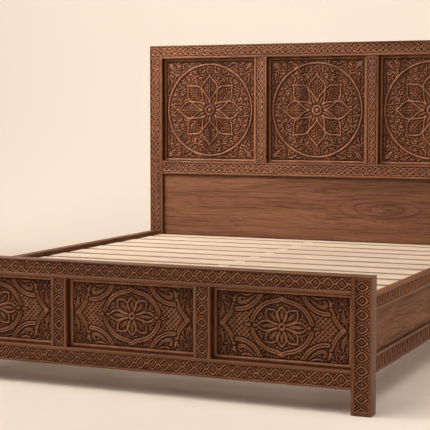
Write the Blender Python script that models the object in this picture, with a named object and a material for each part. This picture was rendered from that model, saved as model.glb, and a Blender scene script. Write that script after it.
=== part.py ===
# Carved wooden bed frame: framed head and foot boards, panelled side rails and a slatted deck.
# The bed lies along Y with its foot end at -Y, and it stands on z = 0. Sizes are in metres.

import math

import bmesh
import bpy
from mathutils import Matrix, Vector

# Widths across the head and foot boards, and the bed's length over both
OPENING_WIDTH = 0.544
MUNTIN_WIDTH = 0.069
POST_WIDTH = 0.075
BOARD_THICK = 0.062
BED_LENGTH = 2.162

# Heights of the headboard: overall, then from the floor up. The plain panel takes up the rest.
HEAD_HEIGHT = 1.430
HEAD_CLEARANCE = 0.240
HEAD_BOTTOM_RAIL = 0.140
HEAD_MID_RAIL = 0.070
HEAD_OPENING = 0.556
HEAD_TOP_RAIL = 0.071

# Heights of the footboard: overall, then from its bottom rail up
FOOT_HEIGHT = 0.499
FOOT_BOTTOM_RAIL = 0.0706
FOOT_OPENING = 0.270
FOOT_TOP_RAIL = 0.068

# Panels, which float in grooves, and their carved medallions
PANEL_RECESS = 0.026
PANEL_THICK = 0.022
PLAIN_RECESS = 0.018
TONGUE_THICK = 0.008
GROOVE_DEPTH = 0.010
BORDER_WIDTH = 0.016
FIELD_SUNK = 0.006
HEAD_RING_RADIUS = 0.2525
FOOT_RING_RADIUS = 0.118
RING_WIDTH = 0.014
HEAD_FLOWER_RADIUS = 0.178
FOOT_FLOWER_RADIUS = 0.076
MEDALLION_SUNK = 0.0015
PETALS = 8
PETAL_POINTS = 6
PETAL_VALLEY = 0.4
PETAL_FULLNESS = 1.4
RING_POINTS = 40

# Mortise and tenon joints of the two boards
TENON_LENGTH = 0.045
TENON_THICK = 0.018
SHOULDER_MARGIN = 0.002

# Side rails: a core board with a carved band tongued along each edge
SIDE_TOP = 0.420
SIDE_HEIGHT = 0.2805
SIDE_CORE = 0.030
SIDE_INSET = 0.012
BAND_THICK = 0.015
UPPER_BAND = 0.048
LOWER_BAND = 0.0655
BAND_TONGUE = 0.006

# Hooked steel plates that lock the side rails to the posts
HOOK_PLATE_WIDTH = 0.020
HOOK_PLATE_HEIGHT = 0.130
HOOK_PLATE_THICK = 0.003
HOOK_THICK = 0.005
HOOK_NECK = 0.014
HOOK_LIP = 0.004
HOOK_DROP = 0.010
HOOK_OFFSET = 0.035

# Deck: slats on ledgers, notched into a centre beam on two legs
DECK_DROP = 0.020
SLAT_WIDTH = 0.138
END_SLAT_WIDTH = 0.080
SLAT_THICK = 0.019
SLAT_COUNT = 10
SLAT_END_GAP = 0.003
LEDGER_WIDTH = 0.030
SIDE_LEDGER_HEIGHT = 0.040
CROSS_LEDGER_HEIGHT = 0.090
BEAM_WIDTH = 0.045
BEAM_HEIGHT = 0.098
BEAM_DROP = 0.002
BEAM_TONGUE = 0.040
LEG_SIZE = 0.050
LEG_OFFSET = 0.450
LEG_TENON = 0.022
LEG_TENON_LENGTH = 0.030

# Glides pressed into the centre legs
GLIDE_RADIUS = 0.020
GLIDE_HEIGHT = 0.008
GLIDE_RIM = 0.003
GLIDE_STEM_RADIUS = 0.005
GLIDE_STEM_LENGTH = 0.030
GLIDE_SIDES = 24

# Clearances, edge chamfers and how far a cutter runs past what it cuts
FIT = 0.0003
EDGE = 0.0015
SLAT_EDGE = 0.002
OVER = 0.006
SMOOTH_ANGLE = math.radians(30)

# Places that follow from the sizes above
HALF_WIDTH = (3 * OPENING_WIDTH + 2 * MUNTIN_WIDTH) / 2 + POST_WIDTH
POST_INSIDE = HALF_WIDTH - POST_WIDTH
PANEL_PITCH = OPENING_WIDTH + MUNTIN_WIDTH
HEAD_RAILS = HEAD_BOTTOM_RAIL + HEAD_MID_RAIL + HEAD_TOP_RAIL
HEAD_PLAIN_OPENING = HEAD_HEIGHT - HEAD_CLEARANCE - HEAD_RAILS - HEAD_OPENING
FOOT_CLEARANCE = FOOT_HEIGHT - FOOT_BOTTOM_RAIL - FOOT_OPENING - FOOT_TOP_RAIL
HEAD_FRONT = BED_LENGTH / 2 - BOARD_THICK
FOOT_FRONT = -BED_LENGTH / 2
FOOT_BACK = FOOT_FRONT + BOARD_THICK
TONGUE_BACK = PANEL_RECESS + PANEL_THICK
TONGUE_FRONT = TONGUE_BACK - TONGUE_THICK
TONGUE_LENGTH = GROOVE_DEPTH - FIT
TENON_BACK = TONGUE_FRONT - SHOULDER_MARGIN
TENON_FRONT = TENON_BACK - TENON_THICK
SHOULDER = GROOVE_DEPTH + SHOULDER_MARGIN
CORE_OUTSIDE = HALF_WIDTH - SIDE_INSET - BAND_THICK
CORE_INSIDE = CORE_OUTSIDE - SIDE_CORE
SIDE_BOTTOM = SIDE_TOP - SIDE_HEIGHT
HOOK_X = (CORE_OUTSIDE + CORE_INSIDE) / 2
HOOK_HEIGHT = (SIDE_TOP + SIDE_BOTTOM) / 2
DECK_TOP = SIDE_TOP - DECK_DROP
DECK_UNDER = DECK_TOP - SLAT_THICK
LEDGER_TOP = DECK_UNDER - FIT
BEAM_TOP = DECK_TOP - BEAM_DROP
BEAM_UNDER = BEAM_TOP - BEAM_HEIGHT
CROSS_LEDGER_BACK = HEAD_FRONT - FIT
CROSS_LEDGER_FRONT = CROSS_LEDGER_BACK - LEDGER_WIDTH
LEG_UNDER = GLIDE_HEIGHT + FIT

CARVED_WOOD = ((0.150, 0.066, 0.032), 0.50, 0.0)
PLAIN_WOOD = ((0.195, 0.086, 0.043), 0.45, 0.0)
PALE_WOOD = ((0.760, 0.560, 0.380), 0.60, 0.0)
STEEL = ((0.420, 0.420, 0.430), 0.35, 1.0)
DARK_PLASTIC = ((0.030, 0.030, 0.032), 0.55, 0.0)


def clear_scene():
    for obj in list(bpy.data.objects):
        bpy.data.objects.remove(obj, do_unlink=True)


def assembly(name, location):
    empty = bpy.data.objects.new(name, None)
    empty.location = location
    bpy.context.scene.collection.objects.link(empty)
    return empty


def add_box(mesh, low, high):
    size = Vector(high) - Vector(low)
    place = Matrix.Translation((Vector(high) + Vector(low)) / 2)
    return bmesh.ops.create_cube(mesh, size=1, matrix=place @ Matrix.Diagonal((*size, 1)))["verts"]


def add_object(name, mesh, parent):
    data = bpy.data.meshes.new(name)
    mesh.to_mesh(data)
    mesh.free()
    obj = bpy.data.objects.new(name, data)
    obj.parent = parent
    bpy.context.scene.collection.objects.link(obj)
    return obj


def set_finish(obj, finish):
    colour, roughness, metallic = finish
    material = bpy.data.materials.new(obj.name + "_finish")
    material.use_nodes = True
    shader = material.node_tree.nodes["Principled BSDF"]
    shader.inputs["Base Color"].default_value = (*colour, 1)
    shader.inputs["Roughness"].default_value = roughness
    shader.inputs["Metallic"].default_value = metallic
    obj.data.materials.append(material)


def add_board(name, parent, finish, low, high, edge=EDGE, along=None):
    # A chamfered board. With along set to an axis, only the edges along that axis are chamfered.
    mesh = bmesh.new()
    add_box(mesh, low, high)
    edges = mesh.edges[:]
    if along is not None:
        edges = [e for e in edges if abs((e.verts[0].co - e.verts[1].co)[along]) > edge]
    bmesh.ops.bevel(mesh, geom=edges, offset=edge, segments=1, affect="EDGES")
    obj = add_object(name, mesh, parent)
    set_finish(obj, finish)
    return obj


def add_boolean(obj, operation, label, mesh):
    helper = add_object(f"{obj.name}_{label}", mesh, obj.parent)
    helper.hide_render = True
    helper.display_type = "WIRE"
    modifier = obj.modifiers.new(label, "BOOLEAN")
    modifier.operation = operation
    modifier.solver = "EXACT"
    modifier.object = helper


def join_boxes(obj, label, boxes):
    mesh = bmesh.new()
    for low, high in boxes:
        add_box(mesh, low, high)
    add_boolean(obj, "UNION", label, mesh)


def cut_boxes(obj, label, boxes):
    mesh = bmesh.new()
    for low, high in boxes:
        add_box(mesh, low, high)
    add_boolean(obj, "DIFFERENCE", label, mesh)


def grown(box, by):
    low, high = box
    return tuple(v - by for v in low), tuple(v + by for v in high)


def mirrored(box, side):
    # The same box on the +X side, or on the -X side where side is -1.
    (x0, y0, z0), (x1, y1, z1) = box
    return (min(side * x0, side * x1), y0, z0), (max(side * x0, side * x1), y1, z1)


def polar_ring(radius_at, count, depth):
    return [
        Vector((radius_at(a) * math.cos(a), depth, radius_at(a) * math.sin(a)))
        for a in (2 * math.pi * i / count for i in range(count))
    ]


def add_plate(mesh, centre, outline, front, back):
    # A flat plate of the outline, standing from the depth front to the depth back.
    rings = []
    for depth in (front, back):
        rings.append([mesh.verts.new(centre + p + Vector((0, depth, 0))) for p in outline])
    count = len(outline)
    for i in range(count):
        j = (i + 1) % count
        mesh.faces.new((rings[0][i], rings[0][j], rings[1][j], rings[1][i]))
    mesh.faces.new(rings[0])
    mesh.faces.new(rings[1])


def add_ring(mesh, centre, radius, front, back):
    # A flat ring: four circles of points, joined round by round.
    loops = []
    inner = radius - RING_WIDTH
    for r, depth in ((radius, front), (radius, back), (inner, back), (inner, front)):
        points = polar_ring(lambda a, r=r: r, RING_POINTS, depth)
        loops.append([mesh.verts.new(centre + p) for p in points])
    for k in range(4):
        near, far = loops[k], loops[(k + 1) % 4]
        for i in range(RING_POINTS):
            j = (i + 1) % RING_POINTS
            mesh.faces.new((near[i], near[j], far[j], far[i]))


def petal_radius(angle, tip):
    # Pointed petals that meet at PETAL_VALLEY of their length.
    turn = abs(math.sin(angle * PETALS / 2))
    return tip * (1 - (1 - PETAL_VALLEY) * turn ** PETAL_FULLNESS)


def add_medallion(panel, centre, ring_radius, flower_radius):
    # The ring and the flower of a carved panel, seated in its sunk field.
    front = PANEL_RECESS + MEDALLION_SUNK
    back = PANEL_RECESS + FIELD_SUNK + MEDALLION_SUNK
    mesh = bmesh.new()
    add_ring(mesh, centre, ring_radius, front, back)
    flower = polar_ring(lambda a: petal_radius(a, flower_radius), PETALS * PETAL_POINTS, 0)
    add_plate(mesh, centre, flower, front, back)
    bmesh.ops.recalc_face_normals(mesh, faces=mesh.faces[:])
    add_boolean(panel, "UNION", "medallion", mesh)


def add_panel(name, parent, finish, low, high, front, carved):
    # A fielded panel for the opening from low to high in x and z, with its tongue in the grooves.
    reach = TONGUE_LENGTH
    mesh = bmesh.new()
    add_box(
        mesh,
        (low[0] - reach, TONGUE_FRONT, low[1] - reach),
        (high[0] + reach, TONGUE_BACK, high[1] + reach),
    )
    field = min(mesh.faces, key=lambda f: f.calc_center_median().y)
    bmesh.ops.inset_individual(mesh, faces=[field], thickness=reach + FIT, use_even_offset=True)
    grown_out = bmesh.ops.extrude_discrete_faces(mesh, faces=[field])["faces"][0]
    for vert in grown_out.verts:
        vert.co.y = front
    if carved:
        bmesh.ops.inset_individual(
            mesh, faces=[grown_out], thickness=BORDER_WIDTH, depth=-FIELD_SUNK, use_even_offset=True
        )
    obj = add_object(name, mesh, parent)
    set_finish(obj, finish)
    return obj


def groove(low, high):
    # A groove cutter that takes a panel's tongue, given its ends in x and z.
    return (low[0], TONGUE_FRONT - FIT, low[1]), (high[0], TONGUE_BACK + FIT, high[1])


def add_rail(prefix, name, parent, finish, low_z, high_z, grooved_under, grooved_over):
    # A rail between the posts, with a tenon at each end and a groove where a panel stands.
    rail = add_board(
        f"{prefix}_{name}",
        parent,
        finish,
        (FIT - POST_INSIDE, 0, low_z),
        (POST_INSIDE - FIT, BOARD_THICK, high_z),
        along=0,
    )
    join_boxes(rail, "tenons", [mirrored(tenon_box(low_z, high_z), side) for side in (-1, 1)])
    end = POST_INSIDE + OVER
    grooves = []
    if grooved_under:
        grooves.append(groove((-end, low_z - OVER), (end, low_z + GROOVE_DEPTH)))
    if grooved_over:
        grooves.append(groove((-end, high_z - GROOVE_DEPTH), (end, high_z + OVER)))
    cut_boxes(rail, "grooves", grooves)


def tenon_box(low_z, high_z):
    return (
        (POST_INSIDE - OVER, TENON_FRONT, low_z + SHOULDER),
        (POST_INSIDE + TENON_LENGTH, TENON_BACK, high_z - SHOULDER),
    )


def add_post(prefix, side, parent, height, rails, openings, hook_face):
    # A post with a mortise for each rail, a groove along each opening and a seat for its hook plate.
    low, high = mirrored(((POST_INSIDE, 0, 0), (HALF_WIDTH, BOARD_THICK, height)), side)
    name = "left" if side < 0 else "right"
    post = add_board(f"{prefix}_post_{name}", parent, CARVED_WOOD, low, high)
    cuts = [grown(tenon_box(*rail), FIT) for rail in rails]
    for low_z, high_z in openings:
        start = (POST_INSIDE - OVER, low_z - GROOVE_DEPTH)
        cuts.append(groove(start, (POST_INSIDE + GROOVE_DEPTH, high_z + GROOVE_DEPTH)))
    cut_boxes(post, "joints", [mirrored(box, side) for box in cuts])
    plate, pocket = hook_seat(hook_face)
    cut_boxes(post, "hook_seat", [mirrored(plate, side)])
    cut_boxes(post, "hook_pocket", [mirrored(pocket, side)])


def hook_seat(face):
    # Cutters in a post, for its hook plate and for the hooks behind it, from its front or its back.
    half_width = HOOK_PLATE_WIDTH / 2 + FIT
    half_height = HOOK_PLATE_HEIGHT / 2 + FIT
    into = 1 if face == 0 else -1
    shallow = face + into * (HOOK_PLATE_THICK + FIT)
    deep = shallow + into * (HOOK_LIP + 2 * FIT)
    outside = face - into * OVER
    reach = HOOK_OFFSET + HOOK_NECK / 2 + HOOK_DROP + OVER
    plate = (
        (HOOK_X - half_width, min(outside, shallow), HOOK_HEIGHT - half_height),
        (HOOK_X + half_width, max(outside, shallow), HOOK_HEIGHT + half_height),
    )
    pocket = (
        (HOOK_X - HOOK_THICK, min(outside, deep), HOOK_HEIGHT - reach),
        (HOOK_X + HOOK_THICK, max(outside, deep), HOOK_HEIGHT + reach - HOOK_DROP),
    )
    return plate, pocket


def add_carved_row(prefix, parent, low_z, high_z, ring_radius, flower_radius):
    # Two muntins and three carved panels across one opening height.
    for side, name in ((-1, "left"), (1, "right")):
        x = side * PANEL_PITCH / 2
        half = MUNTIN_WIDTH / 2 - FIT
        low = (x - half, 0, low_z + FIT)
        high = (x + half, BOARD_THICK, high_z - FIT)
        muntin = add_board(f"{prefix}_muntin_{name}", parent, CARVED_WOOD, low, high, along=2)
        stub_low = (x - half + EDGE, TONGUE_FRONT, low_z - TONGUE_LENGTH)
        stub_high = (x + half - EDGE, TONGUE_BACK, high_z + TONGUE_LENGTH)
        join_boxes(muntin, "stub_tenons", [(stub_low, stub_high)])
        cuts = []
        for edge in (-1, 1):
            outer = x + edge * (MUNTIN_WIDTH / 2 + OVER)
            inner = x + edge * (MUNTIN_WIDTH / 2 - GROOVE_DEPTH)
            ends = sorted((outer, inner))
            reach = GROOVE_DEPTH + OVER
            cuts.append(groove((ends[0], low_z - reach), (ends[1], high_z + reach)))
        cut_boxes(muntin, "grooves", cuts)
    for place, name in ((-1, "left"), (0, "centre"), (1, "right")):
        x = place * PANEL_PITCH
        low = (x - OPENING_WIDTH / 2, low_z)
        high = (x + OPENING_WIDTH / 2, high_z)
        panel = add_panel(f"{prefix}_panel_{name}", parent, CARVED_WOOD, low, high, PANEL_RECESS, True)
        add_medallion(panel, Vector((x, 0, (low_z + high_z) / 2)), ring_radius, flower_radius)


def add_headboard():
    parent = assembly("headboard", (0, HEAD_FRONT, 0))
    bottom = (HEAD_CLEARANCE, HEAD_CLEARANCE + HEAD_BOTTOM_RAIL)
    middle = (bottom[1] + HEAD_PLAIN_OPENING, bottom[1] + HEAD_PLAIN_OPENING + HEAD_MID_RAIL)
    top = (middle[1] + HEAD_OPENING, middle[1] + HEAD_OPENING + HEAD_TOP_RAIL)
    openings = ((bottom[1], middle[0]), (middle[1], top[0]))
    for side in (-1, 1):
        add_post("head", side, parent, top[1], (bottom, middle, top), openings, 0)
    add_rail("head", "bottom_rail", parent, PLAIN_WOOD, *bottom, False, True)
    add_rail("head", "mid_rail", parent, CARVED_WOOD, *middle, True, True)
    add_rail("head", "top_rail", parent, CARVED_WOOD, *top, True, False)
    low = (-POST_INSIDE, bottom[1])
    add_panel("head_plain_panel", parent, PLAIN_WOOD, low, (POST_INSIDE, middle[0]), PLAIN_RECESS, False)
    add_carved_row("head", parent, middle[1], top[0], HEAD_RING_RADIUS, HEAD_FLOWER_RADIUS)


def add_footboard():
    parent = assembly("footboard", (0, FOOT_FRONT, 0))
    bottom = (FOOT_CLEARANCE, FOOT_CLEARANCE + FOOT_BOTTOM_RAIL)
    top = (bottom[1] + FOOT_OPENING, bottom[1] + FOOT_OPENING + FOOT_TOP_RAIL)
    for side in (-1, 1):
        add_post("foot", side, parent, top[1], (bottom, top), ((bottom[1], top[0]),), BOARD_THICK)
    add_rail("foot", "bottom_rail", parent, CARVED_WOOD, *bottom, False, True)
    add_rail("foot", "top_rail", parent, CARVED_WOOD, *top, True, False)
    add_carved_row("foot", parent, bottom[1], top[0], FOOT_RING_RADIUS, FOOT_FLOWER_RADIUS)


def add_side_rail(side, name):
    # The core board, a carved band tongued into each edge of its outer face, and a ledger inside.
    parent = assembly(f"side_rail_{name}_parts", (0, 0, 0))
    near, far = FOOT_BACK + FIT, HEAD_FRONT - FIT
    low, high = mirrored(((CORE_INSIDE, near, SIDE_BOTTOM), (CORE_OUTSIDE, far, SIDE_TOP)), side)
    core = add_board(f"side_rail_{name}", parent, PLAIN_WOOD, low, high, along=1)
    bands = {
        "upper": (SIDE_TOP - UPPER_BAND, SIDE_TOP),
        "lower": (SIDE_BOTTOM, SIDE_BOTTOM + LOWER_BAND),
    }
    for label, (low_z, high_z) in bands.items():
        outer = CORE_OUTSIDE + BAND_THICK
        low, high = mirrored(((CORE_OUTSIDE + FIT, near, low_z), (outer, far, high_z)), side)
        band = add_board(f"side_rail_{name}_{label}_band", parent, CARVED_WOOD, low, high, along=1)
        middle = (low_z + high_z) / 2
        tongue = (
            (CORE_OUTSIDE - BAND_TONGUE, near + OVER, middle - BAND_TONGUE / 2),
            (CORE_OUTSIDE + BAND_THICK / 2, far - OVER, middle + BAND_TONGUE / 2),
        )
        join_boxes(band, "tongue", [mirrored(tongue, side)])
        cut_boxes(core, f"{label}_groove", [mirrored(grown(tongue, FIT), side)])
    half_width = HOOK_PLATE_WIDTH / 2 + FIT
    half_height = HOOK_PLATE_HEIGHT / 2 + FIT
    depth = HOOK_PLATE_THICK + FIT
    seats = []
    for start, end in ((near - OVER, near + depth), (far - depth, far + OVER)):
        seat_low = (HOOK_X - half_width, start, HOOK_HEIGHT - half_height)
        seat_high = (HOOK_X + half_width, end, HOOK_HEIGHT + half_height)
        seats.append(mirrored((seat_low, seat_high), side))
    cut_boxes(core, "hook_seats", seats)
    ledger = (
        (CORE_INSIDE - FIT - LEDGER_WIDTH, near, LEDGER_TOP - SIDE_LEDGER_HEIGHT),
        (CORE_INSIDE - FIT, far, LEDGER_TOP),
    )
    add_board(f"side_ledger_{name}", parent, PALE_WOOD, *mirrored(ledger, side), along=1)


def add_hook_plates(side, side_name, end_name, face, into):
    # The slotted plate in a post and the hooked plate in the rail's end. The post lies towards into.
    parent = assembly(f"hooks_{end_name}_{side_name}", (side * HOOK_X, face, HOOK_HEIGHT))
    half_width = HOOK_PLATE_WIDTH / 2
    half_height = HOOK_PLATE_HEIGHT / 2

    def block(x, near, far, low_z, high_z):
        ends = sorted((into * near, into * far))
        return (-x, ends[0], low_z), (x, ends[1], high_z)

    post_box = block(half_width, 0, HOOK_PLATE_THICK, -half_height, half_height)
    post_plate = add_board(f"post_plate_{end_name}_{side_name}", parent, STEEL, *post_box, edge=FIT)
    half_hook = HOOK_THICK / 2
    rail_box = block(half_width, -FIT - HOOK_PLATE_THICK, -FIT, -half_height, half_height)
    rail_hook = add_board(f"rail_hook_{end_name}_{side_name}", parent, STEEL, *rail_box, edge=FIT)
    slots, necks, lips = [], [], []
    for height in (-HOOK_OFFSET, HOOK_OFFSET):
        low_z, high_z = height - HOOK_NECK / 2, height + HOOK_NECK / 2
        back = HOOK_PLATE_THICK + FIT + HOOK_LIP
        entry = low_z - HOOK_DROP
        through = HOOK_PLATE_THICK + OVER
        root = -FIT - HOOK_PLATE_THICK / 2
        slots.append(block(half_hook + FIT, -OVER, through, low_z - FIT, high_z + HOOK_DROP))
        necks.append(block(half_hook, root, back - HOOK_LIP / 2, low_z, high_z))
        lips.append(block(half_hook - FIT, back - HOOK_LIP, back, entry, high_z - 2 * FIT))
    cut_boxes(post_plate, "slots", slots)
    join_boxes(rail_hook, "necks", necks)
    join_boxes(rail_hook, "lips", lips)


def slat_places():
    # The lowest and highest y of each slat, from the foot end to the head end.
    start, end = FOOT_BACK + SLAT_END_GAP, HEAD_FRONT - SLAT_END_GAP
    widths = [END_SLAT_WIDTH] + [SLAT_WIDTH] * SLAT_COUNT + [END_SLAT_WIDTH]
    gap = (end - start - sum(widths)) / (len(widths) - 1)
    places = []
    for width in widths:
        places.append((start, start + width))
        start += width + gap
    return places


def add_slats(parent):
    half = CORE_INSIDE - SLAT_END_GAP
    for number, (near, far) in enumerate(slat_places(), 1):
        low, high = (-half, near, DECK_UNDER), (half, far, DECK_TOP)
        add_board(f"slat_{number:02d}", parent, PALE_WOOD, low, high, edge=SLAT_EDGE)


def add_cross_ledgers(parent):
    # A ledger against each end board, with a notch for the tongue on the centre beam.
    half = CORE_INSIDE - LEDGER_WIDTH - 2 * FIT
    notch_half = BEAM_WIDTH / 2 + FIT
    for name, end in (("head", 1), ("foot", -1)):
        depths = sorted((end * CROSS_LEDGER_FRONT, end * CROSS_LEDGER_BACK))
        low = (-half, depths[0], LEDGER_TOP - CROSS_LEDGER_HEIGHT)
        high = (half, depths[1], LEDGER_TOP)
        ledger = add_board(f"{name}_ledger", parent, PALE_WOOD, low, high, along=0)
        notch_low = (-notch_half, depths[0] - OVER, LEDGER_TOP - BEAM_TONGUE - FIT)
        notch_high = (notch_half, depths[1] + OVER, LEDGER_TOP + OVER)
        cut_boxes(ledger, "notch", [(notch_low, notch_high)])


def add_centre_beam(parent):
    # The beam's ends drop into the cross ledgers, the slats into its notches, its legs into mortises.
    half = BEAM_WIDTH / 2
    end = CROSS_LEDGER_BACK - FIT
    low, high = (-half, -end, BEAM_UNDER), (half, end, BEAM_TOP)
    beam = add_board("centre_beam", parent, PALE_WOOD, low, high, along=1)
    shoulders = []
    for place in (-1, 1):
        ends = sorted((place * (CROSS_LEDGER_FRONT - FIT), place * (end + OVER)))
        low = (-half - OVER, ends[0], BEAM_UNDER - OVER)
        shoulders.append((low, (half + OVER, ends[1], LEDGER_TOP - BEAM_TONGUE)))
    cut_boxes(beam, "shoulders", shoulders)
    notches = []
    for near, far in slat_places():
        low = (-half - OVER, near - FIT, LEDGER_TOP)
        notches.append((low, (half + OVER, far + FIT, BEAM_TOP + OVER)))
    notches[0] = ((-half - OVER, -end - OVER, LEDGER_TOP), notches[0][1])
    notches[-1] = (notches[-1][0], (half + OVER, end + OVER, BEAM_TOP + OVER))
    cut_boxes(beam, "slat_notches", notches)
    mortises = []
    for place in (-1, 1):
        low, high = leg_tenon(place * LEG_OFFSET)
        mortises.append(grown((low, high), FIT))
    cut_boxes(beam, "leg_mortises", mortises)


def leg_tenon(y):
    half = LEG_TENON / 2
    return (-half, y - half, BEAM_UNDER - OVER), (half, y + half, BEAM_UNDER + LEG_TENON_LENGTH)


def add_lathe(mesh, profile, sides):
    # A solid turned about z from (radius, height) points, closed on the axis at both ends.
    rings = []
    for radius, height in profile:
        turns = [2 * math.pi * i / sides for i in range(sides)]
        rings.append([mesh.verts.new((radius * math.cos(a), radius * math.sin(a), height)) for a in turns])
    for lower, upper in zip(rings, rings[1:]):
        for i in range(sides):
            j = (i + 1) % sides
            mesh.faces.new((lower[i], lower[j], upper[j], upper[i]))
    mesh.faces.new(rings[0][::-1])
    mesh.faces.new(rings[-1])


def add_centre_leg(place, name):
    # A square leg with a tenon at its top, on a glide whose stem goes up its bore.
    y = place * LEG_OFFSET
    parent = assembly(f"centre_support_{name}", (0, y, 0))
    half = LEG_SIZE / 2
    low, high = (-half, -half, LEG_UNDER), (half, half, BEAM_UNDER - FIT)
    leg = add_board(f"centre_leg_{name}", parent, PLAIN_WOOD, low, high)
    tenon_low, tenon_high = leg_tenon(0)
    join_boxes(leg, "tenon", [(tenon_low, tenon_high)])
    stem_top = GLIDE_HEIGHT + GLIDE_STEM_LENGTH
    bore = bmesh.new()
    radius = GLIDE_STEM_RADIUS + FIT
    add_lathe(bore, [(radius, LEG_UNDER - OVER), (radius, stem_top + FIT)], GLIDE_SIDES)
    add_boolean(leg, "DIFFERENCE", "stem_bore", bore)
    profile = [
        (GLIDE_RADIUS - GLIDE_RIM, 0),
        (GLIDE_RADIUS, GLIDE_RIM),
        (GLIDE_RADIUS, GLIDE_HEIGHT),
        (GLIDE_STEM_RADIUS, GLIDE_HEIGHT),
        (GLIDE_STEM_RADIUS, stem_top),
    ]
    mesh = bmesh.new()
    add_lathe(mesh, profile, GLIDE_SIDES)
    glide = add_object(f"leg_glide_{name}", mesh, parent)
    glide.data.shade_smooth()
    glide.data.set_sharp_from_angle(angle=SMOOTH_ANGLE)
    set_finish(glide, DARK_PLASTIC)


def build():
    clear_scene()
    add_headboard()
    add_footboard()
    for side, side_name in ((-1, "left"), (1, "right")):
        add_side_rail(side, side_name)
        add_hook_plates(side, side_name, "head", HEAD_FRONT, 1)
        add_hook_plates(side, side_name, "foot", FOOT_BACK, -1)
    deck = assembly("deck", (0, 0, 0))
    add_cross_ledgers(deck)
    add_centre_beam(deck)
    add_slats(deck)
    add_centre_leg(-1, "foot")
    add_centre_leg(1, "head")


build()
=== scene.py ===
import math

import bpy
import numpy as np
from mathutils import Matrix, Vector


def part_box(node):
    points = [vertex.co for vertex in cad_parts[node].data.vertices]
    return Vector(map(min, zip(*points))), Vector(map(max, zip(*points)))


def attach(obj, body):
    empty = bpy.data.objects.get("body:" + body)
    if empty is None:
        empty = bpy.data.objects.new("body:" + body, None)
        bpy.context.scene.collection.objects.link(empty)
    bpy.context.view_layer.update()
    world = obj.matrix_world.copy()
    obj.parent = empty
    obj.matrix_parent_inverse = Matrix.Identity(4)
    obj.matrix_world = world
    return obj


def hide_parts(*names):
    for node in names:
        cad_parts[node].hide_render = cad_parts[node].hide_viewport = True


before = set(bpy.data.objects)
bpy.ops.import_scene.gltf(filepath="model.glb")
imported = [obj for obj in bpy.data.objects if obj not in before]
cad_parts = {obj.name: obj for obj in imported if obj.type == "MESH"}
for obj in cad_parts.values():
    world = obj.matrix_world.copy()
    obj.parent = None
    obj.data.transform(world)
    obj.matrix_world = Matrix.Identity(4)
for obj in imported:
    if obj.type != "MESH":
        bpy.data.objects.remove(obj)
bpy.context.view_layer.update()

print("frame loaded:", len(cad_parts), "nodes")


# small shared helpers

quarterFlips = [(su, sv) for su in (1, -1) for sv in (1, -1)]  # the four mirrored quarters of a panel


def nodeBox(node):
    return [tuple(round(value, 6) for value in corner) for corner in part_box(node)]  # to the micrometre


def pieceName(node):
    first, *others = node.split("_")
    return first + "".join(word.title() for word in others)


def smoothStep(value):
    value = np.clip(value, 0, 1)
    return value * value * (3 - 2 * value)


def ridge(distance, half):
    return np.sqrt(np.clip(1 - (distance / half) ** 2, 0, 1))


def blurred(field, reach):
    result = field
    for axis in (0, 1):
        padded = np.pad(result, [(reach + 1, reach) if i == axis else (0, 0) for i in (0, 1)], mode="edge")
        total = np.cumsum(padded, axis=axis)
        count = result.shape[axis]
        window = 2 * reach + 1
        upper = np.take(total, range(window, window + count), axis=axis)
        lower = np.take(total, range(0, count), axis=axis)
        result = (upper - lower) / window
    return result


# camera and studio

cameraLook = {
    "place": (2.3184, -5.5059, 1.0819), "tilt": 85.46, "turn": 23.87,
    "lens": 110.82, "sensor": 36, "far": 60,
}

bpy.ops.object.camera_add(
    location=cameraLook["place"],
    rotation=(math.radians(cameraLook["tilt"]), 0, math.radians(cameraLook["turn"])),
)
camera = bpy.context.object
camera.data.lens = cameraLook["lens"]
camera.data.sensor_width = cameraLook["sensor"]
camera.data.clip_end = cameraLook["far"]
bpy.context.scene.camera = camera

studio = {
    "half": 14, "wall": 6.5, "height": 9, "curve": 3.0, "segments": 24, "drop": 0.0005,
    "colour": (0.93, 0.845, 0.755), "mottle": 0.8, "mottleTone": 0.99, "rough": 0.9,
    "glowColour": (0.87, 0.765, 0.655), "glow": 0.48, "glowFrom": 2.4, "glowTo": 6.5,  # only far from the bed
    "sky": (0.098, 0.074, 0.052), "skySeen": (0.60, 0.545, 0.485), "lamp": (1.0, 0.95, 0.89),
}


def selectEdges(item, wanted):
    bpy.ops.object.mode_set(mode="EDIT")
    bpy.ops.mesh.select_mode(type="EDGE")
    bpy.ops.mesh.select_all(action="DESELECT")
    bpy.ops.object.mode_set(mode="OBJECT")
    for edge in item.data.edges:
        edge.select = all(wanted(item.data.vertices[i].co) for i in edge.vertices)
    bpy.ops.object.mode_set(mode="EDIT")


bpy.ops.object.select_all(action="DESELECT")
bpy.ops.mesh.primitive_plane_add(size=2, location=(0, 0, 0))
backdrop = bpy.context.object
backdrop.name = "backdrop"
for vertex in backdrop.data.vertices:
    end = studio["wall"] if vertex.co.y > 0 else -studio["half"]
    vertex.co = (vertex.co.x * studio["half"], end, -studio["drop"])
selectEdges(backdrop, lambda point: point.y > 0)
bpy.ops.mesh.extrude_edges_move(TRANSFORM_OT_translate={"value": (0, 0, studio["height"])})
selectEdges(backdrop, lambda point: point.y > 0 and point.z < 1)
bpy.ops.mesh.bevel(offset=studio["curve"], segments=studio["segments"], affect="EDGES")
bpy.ops.object.mode_set(mode="OBJECT")
bpy.ops.object.shade_smooth()

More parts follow.
